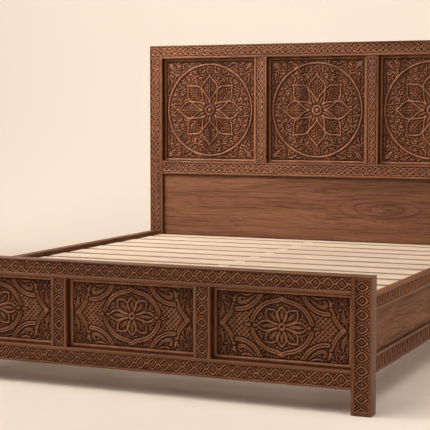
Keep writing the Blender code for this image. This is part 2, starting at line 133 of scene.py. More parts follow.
lamps = {
    "head": {"place": (-2.6, -0.9, 2.9), "aim": (-0.45, 1.05, 1.0), "size": 0.8, "power": 16.5, "spread": 60},
    "foot": {"place": (-4.0, -2.1, 2.4), "aim": (0.1, -1.1, 0.28), "size": 0.8, "power": 3, "spread": 40},
    "key": {"place": (-1.9, -2.9, 4.7), "aim": (0.0, -0.5, 0.2), "size": 6.0, "power": 284, "spread": 180},
    "side": {"place": (2.9, -1.2, 4.0), "aim": (2.0, -0.6, 0.0), "size": 2.0, "power": 13, "spread": 70},
    "wall": {"place": (-3.4, 1.2, 6.0), "aim": (-3.2, 6.0, 2.4), "size": 5.0, "power": 27, "spread": 110},
}

for name, look in lamps.items():
    bpy.ops.object.light_add(type="AREA", location=look["place"])
    lamp = bpy.context.object
    lamp.name = name + "Lamp"
    lamp.data.size = look["size"]
    lamp.data.energy = look["power"]
    lamp.data.spread = math.radians(look["spread"])
    lamp.data.color = studio["lamp"]
    away = Vector(look["place"]) - Vector(look["aim"])
    lamp.rotation_euler = away.to_track_quat("Z", "Y").to_euler()

sky = bpy.data.worlds.new("softSky")
sky.use_nodes = True
lightPath = sky.node_tree.nodes.new("ShaderNodeLightPath")
skyMix = sky.node_tree.nodes.new("ShaderNodeMix")
skyMix.data_type = "RGBA"
skyMix.inputs[6].default_value = studio["sky"] + (1,)
skyMix.inputs[7].default_value = studio["skySeen"] + (1,)
sky.node_tree.links.new(lightPath.outputs["Is Camera Ray"], skyMix.inputs["Factor"])
sky.node_tree.links.new(skyMix.outputs[2], sky.node_tree.nodes["Background"].inputs["Color"])
bpy.context.scene.world = sky
bpy.context.scene.view_settings.view_transform = "Standard"
print("studio set")


# materials

def newMaterial(name):
    material = bpy.data.materials.new(name)
    material.use_nodes = True
    nodes = material.node_tree.nodes
    return material, nodes, material.node_tree.links, nodes["Principled BSDF"]


def feed(links, socket, value):
    if isinstance(value, (int, float, tuple)):
        socket.default_value = value
    else:
        links.new(value, socket)


def objectPlace(nodes):
    return nodes.new("ShaderNodeTexCoord").outputs["Object"]


def vectorMath(nodes, links, operation, first, second, output="Vector"):
    node = nodes.new("ShaderNodeVectorMath")
    node.operation = operation
    for socket, value in zip(node.inputs, (first, second)):
        feed(links, socket, value)
    return node.outputs[output]


def valueMath(nodes, links, operation, first, second=0.0):
    node = nodes.new("ShaderNodeMath")
    node.operation = operation
    for socket, value in zip(node.inputs, (first, second)):
        feed(links, socket, value)
    return node.outputs["Value"]


def stretched(nodes, links, vector, axis, along, across):
    scale = tuple(float(along if letter == axis else across) for letter in "xyz")
    return vectorMath(nodes, links, "MULTIPLY", vector, scale)


def noiseNode(nodes, links, vector, detail, roughness):
    node = nodes.new("ShaderNodeTexNoise")
    node.inputs["Scale"].default_value = 1.0
    node.inputs["Detail"].default_value = detail
    node.inputs["Roughness"].default_value = roughness
    links.new(vector, node.inputs["Vector"])
    return node


def rampColour(nodes, links, value, stops):
    node = nodes.new("ShaderNodeValToRGB")
    while len(node.color_ramp.elements) < len(stops):
        node.color_ramp.elements.new(0.5)
    for element, (place, colour) in zip(node.color_ramp.elements, stops):
        element.position = place
        element.color = (*colour, 1)
    links.new(value, node.inputs["Fac"])
    return node.outputs["Color"]


def toned(nodes, links, value, stops, colour, strength):
    mix = nodes.new("ShaderNodeMix")
    mix.data_type = "RGBA"
    mix.blend_type = "MULTIPLY"
    feed(links, mix.inputs["Factor"], strength)
    links.new(colour, mix.inputs[6])
    links.new(rampColour(nodes, links, value, stops), mix.inputs[7])
    return mix.outputs[2]


grainFlow = {"along": 1.3, "across": 4.0, "detail": 2.0, "rough": 0.5, "sway": 0.07, "pull": -0.65}
grainLayers = {
    "bands": {"along": 0.7, "across": 16, "detail": 4, "rough": 0.60},
    "lines": {
        "along": 2.6, "detail": 3, "rough": 0.62,
        "stops": [(0.36, (0.56, 0.52, 0.50)), (0.52, (1.05, 1.04, 1.04))],
    },
    "fibres": {
        "along": 6, "across": 210, "detail": 3, "rough": 0.6,
        "stops": [(0.30, (0.70, 0.67, 0.65)), (0.66, (1.14, 1.13, 1.12))],
    },
    "pores": {
        "along": 16, "across": 640, "detail": 1, "rough": 0.5,
        "stops": [(0.32, (0.45, 0.42, 0.40)), (0.42, (1.0, 1.0, 1.0))],
    },
}
bandPlaces = (0.30, 0.50, 0.72)
figureLook = {
    "distortion": 2.6, "detail": 3.0, "detailScale": 0.9,
    "stops": [(0.0, (0.46, 0.42, 0.40)), (0.4, (0.94, 0.93, 0.92))],
}
# painted shade on the slats: every face below a slat's top face is darkened
slatShadeLook = {"sharpness": 2500.0, "stops": [(0.0, (0.56, 0.47, 0.39)), (1.0, (1.0, 1.0, 1.0))]}
# relief tone stops: darker in recesses (stain, and painted shade), lighter on ridges (wear, and painted
# highlight)
reliefPlaces = {"recess": 0.0, "shade": 0.34, "flat": 0.58, "worn": 0.82, "plain": 0.97}
surfaceLook = {"smoother": 0.06, "rougher": 0.08, "bumpHeight": 0.0005, "mottleRough": 0.55}
rampEnds = (0.3, 0.7)


def flowingGrain(nodes, links, look):
    axis = look["axis"]
    place = objectPlace(nodes)
    across = [0.0 if letter == axis else 1.0 for letter in "xyz"]
    swayPlace = stretched(nodes, links, place, axis, grainFlow["along"], grainFlow["across"])
    sway = noiseNode(nodes, links, swayPlace, grainFlow["detail"], grainFlow["rough"]).outputs["Color"]
    centred = vectorMath(nodes, links, "SUBTRACT", sway, (0.5, 0.5, 0.5))
    swayed = vectorMath(nodes, links, "MULTIPLY", centred, tuple(grainFlow["sway"] * a for a in across))
    flow = vectorMath(nodes, links, "ADD", place, swayed)
    away = vectorMath(nodes, links, "SUBTRACT", place, look["eye"])
    flat = [0.0 if letter == look["facing"] else 1.0 for letter in "xyz"]
    flat["xyz".index(axis)] = look["stretch"]
    oval = vectorMath(nodes, links, "MULTIPLY", away, tuple(flat))
    square = vectorMath(nodes, links, "DOT_PRODUCT", oval, oval, "Value")
    fade = valueMath(nodes, links, "MULTIPLY", square, -1 / look["eyeSize"] ** 2)
    near = valueMath(nodes, links, "EXPONENT", fade)
    spread = vectorMath(nodes, links, "MULTIPLY", away, tuple(grainFlow["pull"] * a for a in across))
    pull = nodes.new("ShaderNodeVectorMath")  # the grain parts round the eye
    pull.operation = "SCALE"
    links.new(spread, pull.inputs["Vector"])
    links.new(near, pull.inputs["Scale"])
    return vectorMath(nodes, links, "ADD", flow, pull.outputs["Vector"]), oval, near


def eyeRings(nodes, links, look, oval):
    wave = nodes.new("ShaderNodeTexWave")
    wave.wave_type = "RINGS"
    wave.rings_direction = look["facing"].upper()
    wave.wave_profile = "SAW"
    wave.inputs["Scale"].default_value = look["rings"]
    wave.inputs["Distortion"].default_value = figureLook["distortion"]
    wave.inputs["Detail"].default_value = figureLook["detail"]
    wave.inputs["Detail Scale"].default_value = figureLook["detailScale"]
    links.new(oval, wave.inputs["Vector"])
    return wave.outputs["Fac"]


def woodMaterial(name, look):
    material, nodes, links, shader = newMaterial(name)
    flow, oval, near = flowingGrain(nodes, links, look)
    grain = {}
    for key, layer in grainLayers.items():
        across = look["lineCount"] if key == "lines" else layer["across"]
        vector = stretched(nodes, links, flow, look["axis"], layer["along"], across)
        grain[key] = noiseNode(nodes, links, vector, layer["detail"], layer["rough"]).outputs["Fac"]
    bandStops = list(zip(bandPlaces, (look["dark"], look["mid"], look["light"])))
    colour = rampColour(nodes, links, grain["bands"], bandStops)
    for key in ("lines", "fibres", "pores"):
        colour = toned(nodes, links, grain[key], grainLayers[key]["stops"], colour, look[key])
    if look["figure"] > 0:
        amount = valueMath(nodes, links, "MULTIPLY", near, look["figure"])
        colour = toned(nodes, links, eyeRings(nodes, links, look, oval), figureLook["stops"], colour, amount)
    # painted shade: below the slat's top face the colour darkens, so the slat edges read dark between the
    # slats
    if "sawn" in look:
        place = nodes.new("ShaderNodeSeparateXYZ")
        links.new(objectPlace(nodes), place.inputs["Vector"])
        above = valueMath(nodes, links, "SUBTRACT", place.outputs["Z"], look["sawn"])
        above = valueMath(nodes, links, "MULTIPLY", above, slatShadeLook["sharpness"])
        colour = toned(nodes, links, above, slatShadeLook["stops"], colour, 1.0)
    # painted shade and painted highlight from the relief attribute, together with the stain in the hollows
    # and the wear on the ridges
    if "recess" in look:
        relief = nodes.new("ShaderNodeAttribute")
        relief.attribute_name = "relief"
        stops = [(place, look[key]) for key, place in reliefPlaces.items()]
        colour = toned(nodes, links, relief.outputs["Fac"], stops, colour, 1.0)
    links.new(colour, shader.inputs["Base Color"])
    smooth = (look["rough"] - surfaceLook["smoother"],) * 3
    coarse = (look["rough"] + surfaceLook["rougher"],) * 3
    rough = rampColour(nodes, links, grain["fibres"], list(zip(rampEnds, (smooth, coarse))))
    links.new(rough, shader.inputs["Roughness"])
    bump = nodes.new("ShaderNodeBump")
    bump.inputs["Strength"].default_value = look["bump"]
    bump.inputs["Distance"].default_value = surfaceLook["bumpHeight"]
    links.new(grain["fibres"], bump.inputs["Height"])
    links.new(bump.outputs["Normal"], shader.inputs["Normal"])
    shader.inputs["Specular IOR Level"].default_value = look["gloss"]
    return material


evenGrain = {
    "eye": (0.0, 0.0, 0.0), "eyeSize": 0.05, "stretch": 0.3, "rings": 9.0, "figure": 0.0, "lineCount": 100,
}
brownWood = evenGrain | {
    "dark": (0.124, 0.047, 0.020), "mid": (0.205, 0.084, 0.040), "light": (0.278, 0.121, 0.060),
    "lines": 1.0, "fibres": 0.9, "pores": 0.5, "rough": 0.54, "bump": 0.20, "gloss": 0.25,
}
# carved wood: the recess and shade colours darken the hollows (stain and painted shade), the ridge colour
# lightens the tops (wear and painted highlight)
carvedLook = brownWood | {
    "dark": (0.126, 0.044, 0.0165), "mid": (0.205, 0.080, 0.0345), "light": (0.278, 0.115, 0.052),
    "lines": 0.4, "fibres": 0.5, "pores": 0.2, "rough": 0.46, "gloss": 0.34,
    "recess": (0.17, 0.115, 0.10), "shade": (0.54, 0.45, 0.41), "flat": (1.0, 0.98, 0.96),
    "worn": (1.52, 1.55, 1.56), "plain": (1.0, 1.0, 1.0),
}
paleWood = evenGrain | {
    "dark": (0.711, 0.567, 0.428), "mid": (0.824, 0.680, 0.534), "light": (0.896, 0.761, 0.616),
    "lines": 0.3, "fibres": 0.35, "pores": 0.15, "rough": 0.64, "bump": 0.15, "gloss": 0.22,
}
panelWood = brownWood | {
    "dark": (0.115, 0.0435, 0.0185), "mid": (0.190, 0.078, 0.037), "light": (0.258, 0.112, 0.056),
    "eye": (0.385, 1.04, 0.570), "eyeSize": 0.088, "stretch": 0.24, "figure": 0.95, "rings": 16.0,
    "lineCount": 135, "lines": 0.95, "pores": 0.75,
}
# the side rails take lit and shaded copies of one wood: the right rail's lighter tones are painted light, the
# left rail keeps the darker brown as painted shade
railWood = brownWood | {
    "eye": (0.94, -0.74, 0.235), "eyeSize": 0.120, "stretch": 0.14, "figure": 0.9, "rings": 26.0,
    "gloss": 0.12,
}
litRail = railWood | {
    "dark": (0.165, 0.061, 0.0225), "mid": (0.270, 0.109, 0.046), "light": (0.360, 0.154, 0.067),
}
# the plait strips and the head panels take their own levels of this painted shade and painted highlight
plaitCarved = carvedLook | {"worn": (1.28, 1.30, 1.31), "shade": (0.48, 0.40, 0.365)}
headCarved = carvedLook | {"recess": (0.24, 0.17, 0.145), "shade": (0.60, 0.505, 0.46)}
slatEdge = 0.0004
slatWood = paleWood | {"sawn": round(nodeBox("slat_01")[1][2] - slatEdge, 6)}

woodTable = {  # material name, look, the way the grain runs, the way the face looks
    "carvedX": ("carvedWoodX", carvedLook, "x", "y"),
    "carvedY": ("carvedWoodY", carvedLook, "y", "x"),
    "carvedZ": ("carvedWoodZ", carvedLook, "z", "y"),
    "plaitX": ("plaitWoodX", plaitCarved, "x", "y"),
    "plaitZ": ("plaitWoodZ", plaitCarved, "z", "y"),
    "carvedHead": ("carvedWoodHead", headCarved, "z", "y"),
    "panel": ("plainWoodPanel", panelWood, "x", "y"),
    "railLeft": ("plainWoodRailLeft", railWood, "y", "x"),
    "railRight": ("plainWoodRailRight", litRail, "y", "x"),
    "slat": ("paleWoodSlat", slatWood, "x", "z"),
    "paleX": ("paleWoodX", paleWood, "x", "z"),
    "paleY": ("paleWoodY", paleWood, "y", "x"),
    "paleZ": ("paleWoodZ", paleWood, "z", "y"),
}
woods = {}
for key, (name, look, axis, facing) in woodTable.items():
    woods[key] = woodMaterial(name, look | {"axis": axis, "facing": facing})


def mottledMaterial(name, look):
    material, nodes, links, shader = newMaterial(name)
    place = stretched(nodes, links, objectPlace(nodes), "z", look["along"], look["across"])
    mottle = noiseNode(nodes, links, place, look["detail"], surfaceLook["mottleRough"]).outputs["Fac"]
    tone = rampColour(nodes, links, mottle, list(zip(rampEnds, (look["dark"], look["light"]))))
    links.new(tone, shader.inputs["Base Color"])
    shader.inputs["Roughness"].default_value = look["rough"]
    shader.inputs["Metallic"].default_value = look["metal"]
    return material


steelLook = {
    "along": 40, "across": 600, "detail": 3, "rough": 0.38, "metal": 1.0,
    "dark": (0.34, 0.34, 0.35), "light": (0.52, 0.52, 0.53),
}
plasticLook = {
    "along": 300, "across": 300, "detail": 2, "rough": 0.55, "metal": 0.0,
    "dark": (0.018, 0.018, 0.019), "light": (0.032, 0.032, 0.034),
}
paperLook = {
    "along": studio["mottle"], "across": studio["mottle"], "detail": 2,
    "rough": studio["rough"], "metal": 0.0,
    "dark": tuple(part * studio["mottleTone"] for part in studio["colour"]), "light": studio["colour"],
}


def studioMaterial():
    material = mottledMaterial("studioPaper", paperLook)
    nodes, links = material.node_tree.nodes, material.node_tree.links
    shader = nodes["Principled BSDF"]
    ground = vectorMath(nodes, links, "MULTIPLY", objectPlace(nodes), (1.0, 1.0, 0.0))
    away = vectorMath(nodes, links, "LENGTH", ground, (0.0, 0.0, 0.0), "Value")
    glow = nodes.new("ShaderNodeMapRange")
    glow.interpolation_type = "SMOOTHSTEP"
    glow.inputs["From Min"].default_value = studio["glowFrom"]
    glow.inputs["From Max"].default_value = studio["glowTo"]
    glow.inputs["To Max"].default_value = studio["glow"]
    links.new(away, glow.inputs["Value"])
    links.new(glow.outputs["Result"], shader.inputs["Emission Strength"])
    shader.inputs["Emission Color"].default_value = studio["glowColour"] + (1,)
    clear = nodes.new("ShaderNodeBsdfTransparent")  # the paper can be looked through from behind
    behind = nodes.new("ShaderNodeMixShader")
    links.new(nodes.new("ShaderNodeNewGeometry").outputs["Backfacing"], behind.inputs["Fac"])
    links.new(shader.outputs["BSDF"], behind.inputs[1])
    links.new(clear.outputs["BSDF"], behind.inputs[2])
    links.new(behind.outputs["Shader"], nodes["Material Output"].inputs["Surface"])
    return material


steel = mottledMaterial("bracketSteel", steelLook)
plastic = mottledMaterial("glidePlastic", plasticLook)
backdrop.data.materials.append(studioMaterial())
print("materials ready")


# carved faces: height fields on fine grids, closed into blocks

blockLook = {"rim": 0.0022, "rimSteps": (0.0, 0.22, 0.55, 1.0), "backRim": 0.0015, "smooth": 60}
toneLook = {"reach": 0.006, "scale": 0.55, "height": 0.62, "local": 0.38}


def gridLines(low, high, step):
    rim = blockLook["rim"] * np.array(blockLook["rimSteps"])
    count = max(2, int(round((high - low - 2 * rim[-1]) / step)) + 1)
    inner = np.linspace(low + rim[-1], high - rim[-1], count)
    return np.concatenate([low + rim[:-1], inner, high - rim[:-1][::-1]])


def newCanvas(low, high, step):
    across = gridLines(low[0], high[0], step)
    up = gridLines(low[1], high[1], step)
    canvas = {"across": across, "up": up, "low": low, "high": high}
    canvas["u"], canvas["v"] = np.meshgrid(across, up)
    canvas["height"] = np.zeros(canvas["u"].shape)
    sides = [canvas["u"] - low[0], high[0] - canvas["u"], canvas["v"] - low[1], high[1] - canvas["v"]]
    canvas["toEdge"] = np.minimum.reduce(sides)
    return canvas


def rimDepth(canvas):
    radius = blockLook["rim"]
    inside = np.clip(radius - canvas["toEdge"], 0, radius)
    return radius - np.sqrt(np.clip(radius ** 2 - inside ** 2, 0, None))


# relief tone: raised and convex points lighter, deep and enclosed points darker; partly stain and wear,
# partly painted shade and painted highlight
def reliefOf(depth, deepest, step):
    raised = 1 - np.clip(depth / deepest, 0, 1)
    around = blurred(depth, max(2, int(toneLook["reach"] / step)))
    local = (around - depth) / (toneLook["scale"] * deepest)
    share = np.clip(0.5 + 0.5 * local, 0, 1)
    return np.clip(toneLook["height"] * raised + toneLook["local"] * share, 0, 1)


def onPlane(plane, depth, across, up):
    return (across, depth, up) if plane["axis"] == "y" else (depth, across, up)


def frontPlane(node):
    low, high = nodeBox(node)
    return {"axis": "y", "face": low[1], "back": high[1]}


def raiseBlock(name, canvas, depth, relief, plane):
    rows, columns = depth.shape
    bpy.ops.object.select_all(action="DESELECT")
    bpy.ops.mesh.primitive_grid_add(x_subdivisions=columns - 1, y_subdivisions=rows - 1, size=1)
    block = bpy.context.object
    block.name = name
    block.data.name = name
    inward = 1 if plane["back"] > plane["face"] else -1
    face = plane["face"] + inward * (depth + rimDepth(canvas))
    points = np.stack(onPlane(plane, face, canvas["u"], canvas["v"]), axis=-1)
    block.data.vertices.foreach_set("co", points.astype(np.float32).ravel())
    attribute = block.data.attributes.new("relief", "FLOAT", "POINT")
    attribute.data.foreach_set("value", relief.astype(np.float32).ravel())
    block.data.update()
    chamfer = blockLook["backRim"]
    shoulder = plane["back"] - inward * chamfer
    wall = inward * (abs(plane["back"] - plane["face"]) - blockLook["rim"] - chamfer)
    middle = [(canvas["low"][i] + canvas["high"][i]) / 2 for i in (0, 1)]
    shrink = [1 - 2 * chamfer / (canvas["high"][i] - canvas["low"][i]) for i in (0, 1)]
    centre = onPlane(plane, shoulder, *middle)
    bpy.ops.object.mode_set(mode="EDIT")
    bpy.ops.mesh.select_mode(type="EDGE")
    bpy.ops.mesh.select_all(action="DESELECT")
    bpy.ops.mesh.select_non_manifold()
    bpy.ops.mesh.extrude_edges_move(TRANSFORM_OT_translate={"value": onPlane(plane, wall, 0, 0)})
    bpy.ops.transform.resize(value=onPlane(plane, 0, 1, 1), center_override=centre)
    bpy.ops.mesh.extrude_edges_move(TRANSFORM_OT_translate={"value": onPlane(plane, inward * chamfer, 0, 0)})
    bpy.ops.transform.resize(value=onPlane(plane, 1, *shrink), center_override=centre)
    bpy.ops.mesh.extrude_edges_move(TRANSFORM_OT_translate={"value": (0, 0, 0)})
    bpy.ops.mesh.merge(type="CENTER")
    bpy.ops.mesh.select_all(action="SELECT")
    bpy.ops.mesh.normals_make_consistent(inside=False)
    bpy.ops.object.mode_set(mode="OBJECT")
    border = 2 * (rows + columns) - 4
    tones = np.empty(len(block.data.vertices), np.float32)
    block.data.attributes["relief"].data.foreach_get("value", tones)
    tones[rows * columns + border:] = 1.0  # the back is plain wood
    block.data.attributes["relief"].data.foreach_set("value", tones)
    bpy.ops.object.shade_smooth_by_angle(angle=math.radians(blockLook["smooth"]))
    return block


def placeBlock(block, node, material):
    block.data.materials.append(material)
    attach(block, "root")
    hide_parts(node)


# drawing on a canvas, as a carver lays out straps and leaves

def splinePoints(points, steps=7):
    points = [np.array(p, float) for p in points]
    padded = [2 * points[0] - points[1]] + points + [2 * points[-1] - points[-2]]
    result = []
    for a, b, c, d in zip(padded, padded[1:], padded[2:], padded[3:]):
        for t in np.arange(steps) / steps:
            bent = 2 * b + (c - a) * t + (2 * a - 5 * b + 4 * c - d) * t ** 2
            result.append(0.5 * (bent + (3 * b - a - 3 * c + d) * t ** 3))
    result.append(points[-1])
    return np.array(result)


def turned(points, angle):
    c, s = math.cos(angle), math.sin(angle)
    u, v = np.asarray(points, float).T
    return np.stack([u * c - v * s, u * s + v * c], axis=-1)


leafRib = {"deep": 0.5, "wide": 0.22}
leafTaper = (0.35, 1.0, 0.8, 0.15)
scrollLook = {"points": 22, "inner": 0.30, "taper": (0.7, 1.0, 1.0)}
doubleStrap = {"centre": 0.54, "half": 0.46, "between": 0.48}


def inkPath(canvas, points, half, top, shape="round", moat=0.0):
    points = np.asarray(points, float)
    if np.ndim(half) == 0:
        halves = np.full(len(points), float(half))
    else:
        halves = np.interp(np.linspace(0, 1, len(points)), np.linspace(0, 1, len(half)), half)
    reach = halves.max() + moat
    low, high = points.min(axis=0) - reach, points.max(axis=0) + reach
    i0, i1 = np.searchsorted(canvas["across"], (low[0], high[0]))
    j0, j1 = np.searchsorted(canvas["up"], (low[1], high[1]))
    if i1 <= i0 or j1 <= j0:
        return
    u, v = canvas["u"][j0:j1, i0:i1], canvas["v"][j0:j1, i0:i1]
    nearest = np.full(u.shape, np.inf)
    halfHere = np.full(u.shape, halves[0])
    for a, b, ha, hb in zip(points[:-1], points[1:], halves[:-1], halves[1:]):
        step = b - a
        t = np.clip(((u - a[0]) * step[0] + (v - a[1]) * step[1]) / max(step @ step, 1e-14), 0, 1)
        distance = np.hypot(u - a[0] - t * step[0], v - a[1] - t * step[1])
        closer = distance < nearest
        nearest = np.where(closer, distance, nearest)
        halfHere = np.where(closer, ha + (hb - ha) * t, halfHere)
    t = nearest / np.maximum(halfHere, 1e-6)
    if shape == "double":
        pair = ridge(t - doubleStrap["centre"], doubleStrap["half"])
        pair = np.maximum(pair, doubleStrap["between"] * (t < doubleStrap["centre"]))
        height = top * np.where(t < 1, pair, 0)
    else:
        height = top * ridge(t, 1)
    if shape == "leaf":
        height = height * (1 - leafRib["deep"] * np.exp(-(t / leafRib["wide"]) ** 2))
    window = canvas["height"][j0:j1, i0:i1]
    if moat > 0:
        window[nearest < halfHere + moat] = 0
    np.maximum(window, height, out=window)


def tapered(half, taper):
    return tuple(half * part for part in taper)


def inkLeaf(canvas, base, tip, half, bend, top):
    base, tip = np.array(base, float), np.array(tip, float)
    along = tip - base
    sideways = np.array([-along[1], along[0]])
    spine = splinePoints([base, base + 0.5 * along + bend * sideways, tip], 4)
    inkPath(canvas, spine, tapered(half, leafTaper), top, "leaf")


def inkBead(canvas, centre, radius, top, moat=0.0):
    spot = np.array([centre, np.array(centre) + (1e-5, 0)])
    inkPath(canvas, spot, radius, top, "round", moat)


def inkScroll(canvas, centre, radius, start, way, half, top):
    inner = scrollLook["inner"] * radius
    angles = start + way * np.linspace(0, 2 * math.pi, scrollLook["points"])
    radii = np.linspace(radius, inner, scrollLook["points"])
    spiral = np.stack([centre[0] + radii * np.cos(angles), centre[1] + radii * np.sin(angles)], axis=-1)
    inkPath(canvas, spiral, tapered(half, scrollLook["taper"]), top)
    inkBead(canvas, centre, inner, top)


def heightAt(canvas, points):
    i = np.clip(np.searchsorted(canvas["across"], points[:, 0]), 0, len(canvas["across"]) - 1)
    j = np.clip(np.searchsorted(canvas["up"], points[:, 1]), 0, len(canvas["up"]) - 1)
    return canvas["height"][j, i]


# small leaves follow a flow over one quarter, which is then mirrored

fillLook = {
    "swing": 2.4, "waves": (31, 34), "phases": (1.1, 0.3), "wander": 0.9,
    "shortest": 0.6, "bend": (0.12, 0.42), "free": 0.08, "ribbed": 0.0048, "taper": (0.7, 1.0, 0.95, 0.45),
}


def fillLeaves(canvas, generator, tries, longest, half, top, margin):
    for _ in range(tries):
        place = generator.uniform((0, 0), canvas["high"])
        rise = math.sin(fillLook["waves"][0] * place[0] + fillLook["phases"][0])
        fall = math.cos(fillLook["waves"][1] * place[1] + fillLook["phases"][1])
        flow = fillLook["swing"] * rise + fillLook["swing"] * fall
        turn = flow + generator.uniform(-fillLook["wander"], fillLook["wander"])
        length = longest * generator.uniform(fillLook["shortest"], 1.0)
        bend = generator.uniform(*fillLook["bend"]) * generator.choice((-1, 1))
        step = length * np.array([math.cos(turn), math.sin(turn)])
        side = np.array([-step[1], step[0]])
        spine = splinePoints([place - step / 2, place + bend * side, place + step / 2], 4)
        normal = side / length * (half + margin)
        caps = np.array([spine[0] - step / length * margin, spine[-1] + step / length * margin])
        probe = np.concatenate([spine, spine + normal, spine - normal, caps])
        if probe.min() < 0 or heightAt(canvas, probe).max() > fillLook["free"]:
            continue
        shape = "leaf" if half > fillLook["ribbed"] else "round"
        inkPath(canvas, spine, tapered(half, fillLook["taper"]), top, shape)


def fillQuarters(canvas, look):
    generator = np.random.default_rng(look["seed"])
    for tries, longest, half, top in look["fill"]:
        fillLeaves(canvas, generator, tries, longest, half, top, look["margin"])
    quarter = canvas["height"] * (canvas["u"] >= 0) * (canvas["v"] >= 0)
    quarter = np.maximum(quarter, quarter[:, ::-1])
    canvas["height"] = np.maximum(quarter, quarter[::-1])


# every carved panel has a rounded bead and a groove round its field

# the border tone is a painted highlight that keeps each panel's bead and border lighter than plain wood
borderLook = {
    "overlap": 0.001, "ground": 0.0100, "rise": 0.0094, "blend": 0.0015, "tone": 0.66,
    "bead": 0.0085, "beadHalf": 0.0058, "beadDeep": 0.0034, "groove": 0.0172, "grooveDeep": 1.05,
}


def panelDepth(canvas, look):
    e = canvas["toEdge"] - look["overlap"]
    bead = look["beadDeep"] * (1 - ridge(e - look["bead"], look["beadHalf"]))
    field = look["ground"] - look["rise"] * canvas["height"]
    inField = smoothStep((e - look["groove"]) / look["blend"])
    border = np.where(e < look["bead"] + look["beadHalf"], bead, look["ground"] * look["grooveDeep"])
    return border * (1 - inField) + field * inField


# head panels: eight petals of crossing straps in a ring

headLook = borderLook | {
    "step": 0.0020, "ring": 0.2452, "ringHalf": 0.0060, "strapHalf": 0.0050, "moat": 0.0034,
    "hub": 0.0225, "hubHalf": 0.0050, "knob": 0.0125, "corner": (0.251, 0.257),
    "leafTop": 0.86, "scrollTop": 0.88, "cornerTop": 0.90, "diamondTop": 0.94, "strapTop": 0.98,
    "seed": 11, "margin": 0.0019,
    "fill": [  # tries, longest, half width, height
        (3000, 0.042, 0.0062, 0.93), (4000, 0.032, 0.0056, 0.93), (5000, 0.023, 0.0050, 0.92),
        (6000, 0.014, 0.0044, 0.90), (4000, 0.006, 0.0037, 0.88),
    ],
}
headRing = {  # what stands between the petals and the ring: base, tip, half width, bend
    "scroll": (0.0215, 0.181), "scrollRadius": 0.0180, "scrollHalf": 0.0042, "scrollStart": 0.9,
    "leaves": [
        ((0.004, 0.209), (0.018, 0.233), 0.0058, 0.25),
        ((0.023, 0.207), (0.043, 0.222), 0.0056, 0.25),
        ((0.046, 0.190), (0.064, 0.209), 0.0056, 0.25),
    ],
    "diamond": [(0, 0.193), (0.0180, 0.2150), (0, 0.237), (-0.0180, 0.2150), (0, 0.193)],
    "diamondHalf": 0.0036, "diamondMoat": 0.0022, "eye": 0.2150, "eyeRadius": 0.0066,
    "bud": [(0, 0.122), (0, 0.162)], "budHalf": 0.0078,
    "sepal": [(0, 0.034), (0, 0.080)], "sepalHalf": 0.0066,
    "spray": (-0.016, 0, 0.016), "sprayEnds": (0.200, 0.233), "sprayClose": 0.25, "sprayDrop": 0.4,
    "sprayHalf": 0.0052,
}
headPetal = {
    "outline": [
        (0, 0.189), (0.008, 0.176), (0.021, 0.161), (0.0385, 0.143), (0.0460, 0.122),
        (0.0445, 0.099), (0.0425, 0.072), (0.0385, 0.047), (0.0290, 0.032),
    ],
    "midVein": [(0, 0.066), (0, 0.170)], "midHalves": (0.0030, 0.0044, 0.0030),
    "veins": (0.076, 0.092, 0.108, 0.124, 0.140), "veinHalf": 0.0047, "veinBend": 0.22,
    "veinFrom": 0.0080, "veinPast": 0.0090, "veinRise": 0.0165,
    "widest": 0.124, "veinWide": 0.0205, "narrowing": 0.42, "lowShare": 0.25,
}
headCorner = {
    "scrolls": ((0.024, 0.068), (0.068, 0.024)), "scrollRadius": 0.0165, "scrollHalf": 0.0040, "lead": 2.6,
    "leaf": ((0.004, 0.004), (0.052, 0.052), 0.0092, 0),
    "leaves": [  # along one side, and mirrored along the other
        ((0.007, 0.016), (0.009, 0.046), 0.0052, -0.2),
        ((0.010, 0.094), (0.013, 0.128), 0.0062, 0.2),
        ((0.007, 0.138), (0.008, 0.170), 0.0050, 0.1),
    ],
}
eighth = math.pi / 4


def turnedLeaf(canvas, ends, angle, half, bend, top):
    base, tip = turned(ends, angle)
    inkLeaf(canvas, base, tip, half, bend, top)


def carvePetal(canvas, look, axis):
    petal = headPetal
    inkPath(canvas, turned(petal["midVein"], axis), petal["midHalves"], look["leafTop"])
    for low in petal["veins"]:
        narrowing = petal["narrowing"] * (petal["widest"] - low)
        wide = petal["veinWide"] + narrowing * (1 if low > petal["widest"] else petal["lowShare"])
        tip = (wide + petal["veinPast"], low + petal["veinRise"])
        for way in (1, -1):
            ends = np.array([(petal["veinFrom"], low), tip]) * (way, 1)
            turnedLeaf(canvas, ends, axis, petal["veinHalf"], petal["veinBend"] * way, look["leafTop"])


def carveRing(canvas, look, k):
    ring = headRing
    axis, between = k * eighth, (k + 0.5) * eighth
    for way in (1, -1):
        centre = turned([np.array(ring["scroll"]) * (way, 1)], between)[0]
        start = between + (-ring["scrollStart"] if way > 0 else math.pi + ring["scrollStart"])
        inkScroll(canvas, centre, ring["scrollRadius"], start, way, ring["scrollHalf"], look["scrollTop"])
        for base, tip, half, bend in ring["leaves"]:
            turnedLeaf(canvas, np.array([base, tip]) * (way, 1), between, half, bend * way, look["leafTop"])
    turnedLeaf(canvas, ring["bud"], between, ring["budHalf"], 0, look["scrollTop"])
    carvePetal(canvas, look, axis)
    turnedLeaf(canvas, ring["sepal"], between, ring["sepalHalf"], 0, look["scrollTop"])
    if k % 2 == 0:
        diamond = turned(ring["diamond"], axis)
        inkPath(canvas, diamond, ring["diamondHalf"], look["diamondTop"], "round", ring["diamondMoat"])
        inkBead(canvas, turned([(0, ring["eye"])], axis)[0], ring["eyeRadius"], look["diamondTop"])
    else:
        low, high = ring["sprayEnds"]
        for lean in ring["spray"]:
            ends = [(lean * ring["sprayClose"], low), (lean, high - abs(lean) * ring["sprayDrop"])]
            turnedLeaf(canvas, ends, axis, ring["sprayHalf"], 0, look["scrollTop"])


